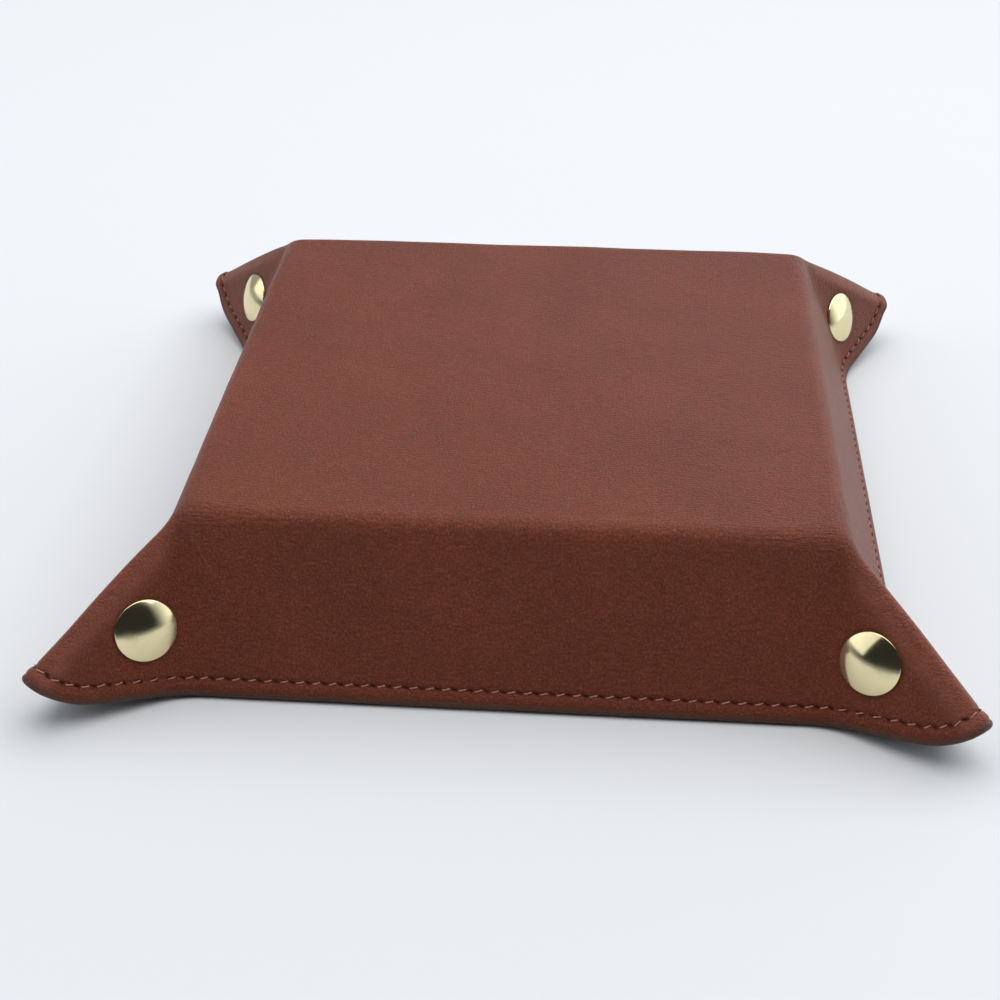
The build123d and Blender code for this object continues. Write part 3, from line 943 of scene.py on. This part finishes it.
class TRAY_OT_stitches(bpy.types.Operator):
    """Sew the hem with one run of stitches for each body"""

    bl_idname = "tray.stitches"
    bl_label = "Stitches"

    def execute(self, context):
        scene = context.scene
        sheet, width = FoldedSheet(scene), scene.tray_sheet.wall_width
        inset, finer = np.array([scene.tray_stitches.inset]), 8
        layout = Layout(scene, inset, True)
        tree = stitch_tree(thread_finish(scene))
        for wall in WALLS:
            reach = HALF_BASE - (0 if wall in ("left", "right") else layout.crease_in)
            x, y = wall_grid(wall, HALF_BASE + width - inset, np.array([-reach, reach]))
            count, _ = layout.stitch_count(0, 2 * reach)
            piece = sew(f"stitches_{wall}_wall", sheet, x[0], y[0], count, tree, f"{wall}_wall_thread")
            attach(piece, f"{wall}_wall")
        for end, side in CORNERS:
            for name, share, strip, bodies, fold in layout.ear_halves(end, side):
                spots = np.linspace(0, len(share) - 1, finer * len(share))
                share = np.interp(spots, range(len(share)), share)
                x, y = at_corner(end, side, *layout.round_corner(inset, share))
                count, _ = layout.stitch_count(share[-1] - max(share[0], 0), strip)
                piece = sew(f"stitches_{name}", sheet, x[0], y[0], count, tree, f"{name}_thread")
                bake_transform(piece)
        return {"FINISHED"}


class TRAY_OT_caps(bpy.types.Operator):
    """Set the eight domed snap caps"""

    bl_idname = "tray.caps"
    bl_label = "Snap Caps"

    def execute(self, context):
        scene = context.scene
        caps, sheet = scene.tray_caps, FoldedSheet(scene)
        brass = brass_finish("polished_brass", tuple(scene.tray_colours.cap), 0.12, 0.25)
        for end, side in CORNERS:
            for name, *past in ((f"{end}_ear_{side}", caps.across, caps.down),
                                (f"{side}_ear_{end}", caps.down, caps.across)):
                spot = map(np.atleast_1d, at_corner(end, side, *past))
                middle, out = (Vector(found[0]) for found in sheet.place(*spot))
                seat = middle + out * (scene.tray_sheet.leather_face - caps.press)
                piece = spin_cap(f"cap_{name}", caps, seat, out, brass)
                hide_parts(f"{name}_cap")
                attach(piece, name)
        return {"FINISHED"}


class TRAY_OT_hidden_parts(bpy.types.Operator):
    """Finish the boards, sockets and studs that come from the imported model"""

    bl_idname = "tray.hidden_parts"
    bl_label = "Boards and Snaps"

    def execute(self, context):
        scene = context.scene
        names = list(frame["nodes"])
        dress(board_finish(scene), [n for n in names if n.endswith("_board")])
        dress(brass_finish("snap_brass", tuple(scene.tray_colours.snap), 0.18, 0.4),
              [n for n in names if n.endswith(("_socket", "_stud"))])
        return {"FINISHED"}


def studio():
    """A studio that is bright behind and to the right, dark overhead and in front."""
    world = bpy.data.worlds.new("studio")
    world.use_nodes = True
    room = Tree(world.node_tree)
    room.nodes.nodes.clear()
    aside, ahead, up = room.split(room.made("ShaderNodeTexCoord", output="Generated"))
    wall = (ahead + abs(aside) * 0.35).step(-0.25, 0.45) * (1 - up.step(0.55, 0.90))
    horizon = 1 - up.step(0.055, 0.085)
    level = wall * (aside.step(-0.15, 0.40) * 1.2 + 0.40)
    level = level.math("MAXIMUM", horizon * 0.30).math("MAXIMUM", 0.03)
    shade = room.made("ShaderNodeBackground", {"Color": (0.90, 0.95, 1.0, 1), "Strength": level})
    room.add("ShaderNodeOutputWorld", {"Surface": shade})
    return world


def paper_floor(paint):
    """A wide sheet of paper with a faint tint."""
    paper = Finish("floor_paper", 0.2, Roughness=0.9)
    tint = paper.noise(paper.place(), 2.0, 2.0)
    paper.plug(paper.shader.inputs["Base Color"], paper.mix(tint, paint, dyed(paint, 0.985)))
    corners = [(x, y, 0) for x, y in ((-4, -4), (4, -4), (4, 4), (-4, 4))]
    return added("floor", smooth_mesh("floor", corners, [(0, 1, 2, 3)], paper.material))


def softbox(name, at, aim, size, power, tone):
    """A rectangular light that faces a point."""
    light = bpy.data.lights.new(name, "AREA")
    light.shape, light.size, light.size_y = "RECTANGLE", size[0], size[1]
    light.energy, light.color = power, tone
    lamp = added(name, light)
    lamp.location = at
    lamp.rotation_euler = (Vector(aim) - Vector(at)).to_track_quat("-Z", "Y").to_euler()


def photo_camera():
    """The camera of the photograph. Its place, look, roll and lens were fitted to it."""
    place, look, roll = (0.02297, -0.40989, 0.26109), Vector((-0.06278, 0.84049, -0.53817)), radians(0.01)
    sensor, lens_share = 36, 1.74638
    camera = bpy.data.cameras.new("camera")
    camera.sensor_width, camera.lens = sensor, sensor * lens_share
    camera.clip_start, camera.clip_end = 0.02, 20
    eye = added("camera", camera)
    eye.rotation_mode = "QUATERNION"
    eye.rotation_quaternion = look.to_track_quat("-Z", "Y") @ Matrix.Rotation(roll, 3, "Z").to_quaternion()
    eye.location = place
    return eye


class TRAY_OT_stage(bpy.types.Operator):
    """Set up the floor, the lights and the camera"""

    bl_idname = "tray.stage"
    bl_label = "Stage"

    def execute(self, context):
        scene = context.scene
        floor = paper_floor(tuple(scene.tray_colours.floor))
        softbox("top_light", (0.38, 0.38, 1.30), (0.38, 0.38, 0), (2.3, 2.05), 27.0, (1.0, 0.995, 0.985))
        softbox("window", (-1.36, -0.18, 0.90), (0, 0, 0.02), (1.6, 1.4), 7.6, (0.97, 0.985, 1.0))
        scene.world = studio()
        scene.view_settings.view_transform = "Standard"
        scene.camera = photo_camera()
        return {"FINISHED"}


class TRAY_PT_panel(bpy.types.Panel):
    """Sizes, colours and steps of the tray"""

    bl_label = "Valet Tray"
    bl_space_type = "VIEW_3D"
    bl_region_type = "UI"
    bl_category = "Tray"

    def draw(self, context):
        for group in GROUPS:
            values = getattr(context.scene, group)
            box = self.layout.box()
            for name in values.bl_rna.properties.keys():
                if name not in ("rna_type", "name"):
                    box.prop(values, name)
        for step in STEPS:
            self.layout.operator(step.bl_idname)


GROUPS = {"tray_sheet": TraySheet, "tray_stitches": TrayStitches,
          "tray_caps": TrayCaps, "tray_colours": TrayColours}
STEPS = (TRAY_OT_leather, TRAY_OT_lining, TRAY_OT_stitches, TRAY_OT_caps, TRAY_OT_hidden_parts, TRAY_OT_stage)


def register():
    """Register the groups, the operators and the panel."""
    for cls in (*GROUPS.values(), *STEPS, TRAY_PT_panel):
        bpy.utils.register_class(cls)
    for name, cls in GROUPS.items():
        setattr(bpy.types.Scene, name, bpy.props.PointerProperty(type=cls))


def unregister():
    """Undo register."""
    for name in GROUPS:
        delattr(bpy.types.Scene, name)
    for cls in (TRAY_PT_panel, *STEPS, *GROUPS.values()):
        bpy.utils.unregister_class(cls)


def main():
    """Run every step in order."""
    register()
    for step in STEPS:
        group, name = step.bl_idname.split(".")
        getattr(getattr(bpy.ops, group), name)()


if __name__ == "__main__":
    main()
